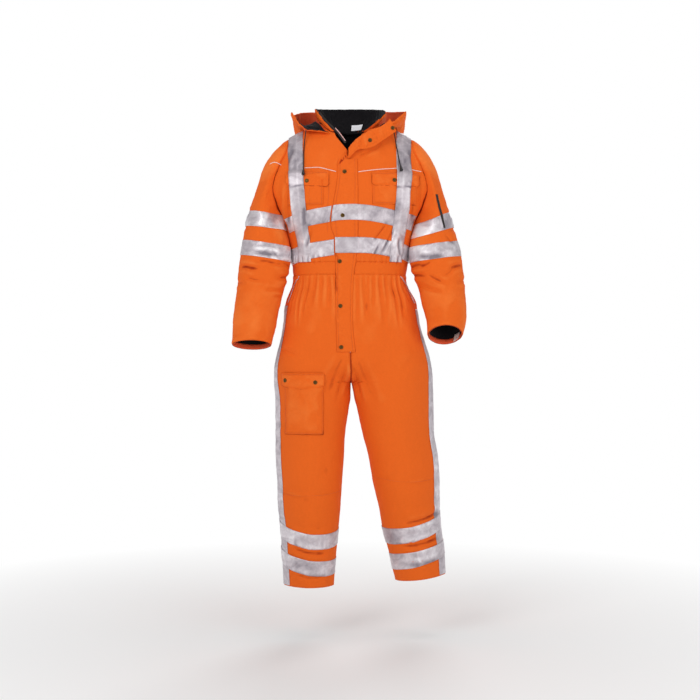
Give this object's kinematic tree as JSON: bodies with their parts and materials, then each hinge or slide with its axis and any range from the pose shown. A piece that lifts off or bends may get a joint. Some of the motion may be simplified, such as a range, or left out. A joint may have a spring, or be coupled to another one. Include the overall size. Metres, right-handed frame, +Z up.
{
  "type": "boiler suit",
  "caption": "Padded high-visibility boiler suit with a folded-back hood, stud front and reflective tape, filled out with no wearer.",
  "frame": {"origin": "between the shoulders at the base of the neck, where the suit is held as if worn", "axes": "+Z up to the neck, -Y to the front of the suit, -X to the wearer's right"},
  "size_m": [0.7425, 0.3801, 1.561],
  "materials": {
    "cloth": "orange coated oxford weave, padded, matte",
    "tape": "grey retroreflective tape",
    "lining": "black fleece lining",
    "zip": "dark zip",
    "stud": "dark brass press-stud caps",
    "label": "white woven label, left bare",
    "cord": "black braided drawcord with cone ends"
  },
  "bodies": {
    "root": {"back": "cloth", "band_lower": "tape", "band_upper_back": "tape", "band_upper_left": "tape", "band_upper_right": "tape", "brace_left": "tape", "brace_right": "tape", "chest_flap_left": "cloth", "chest_flap_right": "cloth", "chest_pocket_left": "cloth", "chest_pocket_right": "cloth", "collar": "cloth", "collar_lining": "lining", "cord_end_left": "cord", "cord_end_right": "cord", "cord_left": "cord", "cord_right": "cord", "cuff_lining_left": "lining", "cuff_lining_right": "lining", "cuff_tab": "tape", "flap_end": "cloth", "front_left": "cloth", "front_right": "cloth", "front_zip": "zip", "hood": "cloth", "hood_lining": "lining", "leg_band_lower_left": "tape", "leg_band_lower_right": "tape", "leg_band_upper_left": "tape", "leg_band_upper_right": "tape", "neck_label": "label", "placket": "cloth", "sleeve_band_lower_left": "tape", "sleeve_band_lower_right": "tape", "sleeve_band_upper_left": "tape", "sleeve_band_upper_right": "tape", "sleeve_left": "cloth", "sleeve_right": "cloth", "sleeve_zip": "zip", "snap_chest_left": "stud", "snap_chest_right": "stud", "snap_flap_1": "stud", "snap_flap_2": "stud", "snap_placket_1": "stud", "snap_placket_2": "stud", "snap_placket_3": "stud", "snap_placket_4": "stud", "snap_placket_5": "stud", "snap_thigh_1": "stud", "snap_thigh_2": "stud", "stripe_left": "tape", "stripe_right": "tape", "thigh_flap": "cloth", "thigh_pocket": "cloth", "trouser_back_left": "cloth", "trouser_back_right": "cloth", "trouser_front_left": "cloth", "trouser_front_right": "cloth", "waistband": "cloth", "zip_facing": "tape"}
  },
  "joints": []
}
